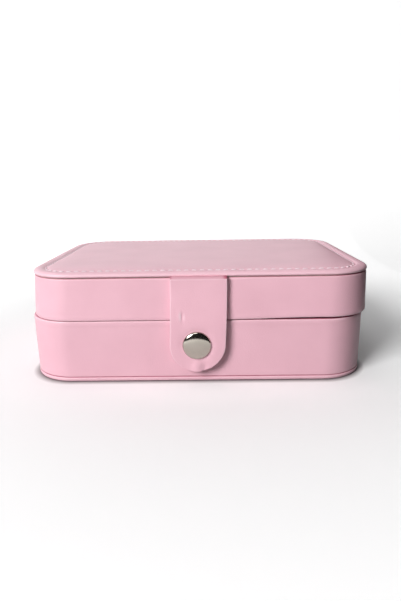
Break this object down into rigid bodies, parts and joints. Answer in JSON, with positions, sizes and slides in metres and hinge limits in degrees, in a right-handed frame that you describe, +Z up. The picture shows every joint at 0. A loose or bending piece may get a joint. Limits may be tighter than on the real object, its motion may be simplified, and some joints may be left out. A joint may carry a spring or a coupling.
{
  "type": "jewellery case",
  "caption": "Small hinged jewellery case in soft leather with rounded corners, a stitched padded lid, a snap strap and a velvet-lined inside.",
  "frame": {"origin": "on the floor under the middle of the base", "axes": "+Z up, the strap and press stud on the -Y side, the hinge on the +Y side, +X to the right seen from the front"},
  "size_m": [0.1667, 0.1295, 0.0537],
  "materials": {
    "shell_leather": "soft pale pink PU leather with a very fine grain and a low sheen",
    "strap_leather": "same pink leather, two layers",
    "velvet_lining": "short-pile velvet",
    "velvet_padding": "short-pile velvet over foam",
    "greyboard": "pressed paper board",
    "foam": "thin open-cell foam",
    "thread": "polyester sewing thread",
    "elastic": "velvet-covered elastic",
    "snap_nickel": "polished nickel plate",
    "spring_steel": "spring wire",
    "hook_metal": "rose gold plate"
  },
  "bodies": {
    "base": {"bottom_cover": "shell_leather", "bottom_board": "greyboard", "base_frame": "greyboard", "base_cover": "shell_leather", "base_wall_lining": "velvet_lining", "base_floor_pad": "velvet_padding", "fixed_divider": "velvet_padding", "ring_roll_1": "velvet_padding", "ring_roll_2": "velvet_padding", "ring_roll_3": "velvet_padding", "ring_roll_4": "velvet_padding", "ring_roll_5": "velvet_padding", "ring_roll_6": "velvet_padding", "ring_roll_7": "velvet_padding", "snap_stud": "snap_nickel", "snap_post": "snap_nickel", "hinge_strip_lower": "shell_leather", "hinge_lining_lower": "velvet_lining"},
    "divider_front": {"lift_divider_front": "velvet_padding"},
    "divider_rear": {"lift_divider_rear": "velvet_padding"},
    "lid": {"hinge_strip_upper": "shell_leather", "hinge_lining_upper": "velvet_lining", "lid_frame": "greyboard", "lid_cover": "shell_leather", "lid_top_board": "greyboard", "lid_top_foam": "foam", "lid_top_cover": "shell_leather", "lid_top_stitching": "thread", "lid_ceiling_lining": "velvet_lining", "lid_wall_lining": "velvet_lining", "lid_pocket": "velvet_lining", "pocket_elastic": "elastic", "hook_strip": "shell_leather", "necklace_hooks": "hook_metal", "hook_rivets": "hook_metal", "strap_tail": "strap_leather"},
    "strap": {"strap_outer": "strap_leather", "strap_inner": "strap_leather", "snap_cap": "snap_nickel", "snap_socket": "snap_nickel", "snap_spring": "spring_steel"}
  },
  "joints": [
    {"name": "lid_hinge", "type": "hinge", "parent": "base", "child": "lid", "pos_m": [0.0006, 0.0613, 0.0306], "axis": [-1, 0, 0], "range_deg": [0, 105]},
    {"name": "strap_swing", "type": "hinge", "parent": "lid", "child": "strap", "pos_m": [0.0008, -0.0604, 0.0497], "axis": [-1, 0, 0], "range_deg": [0, 90]},
    {"name": "divider_front_lift", "type": "slide", "parent": "base", "child": "divider_front", "axis": [0, 0, 1], "range_m": [0, 0.013]},
    {"name": "divider_rear_lift", "type": "slide", "parent": "base", "child": "divider_rear", "axis": [0, 0, 1], "range_m": [0, 0.013]}
  ]
}
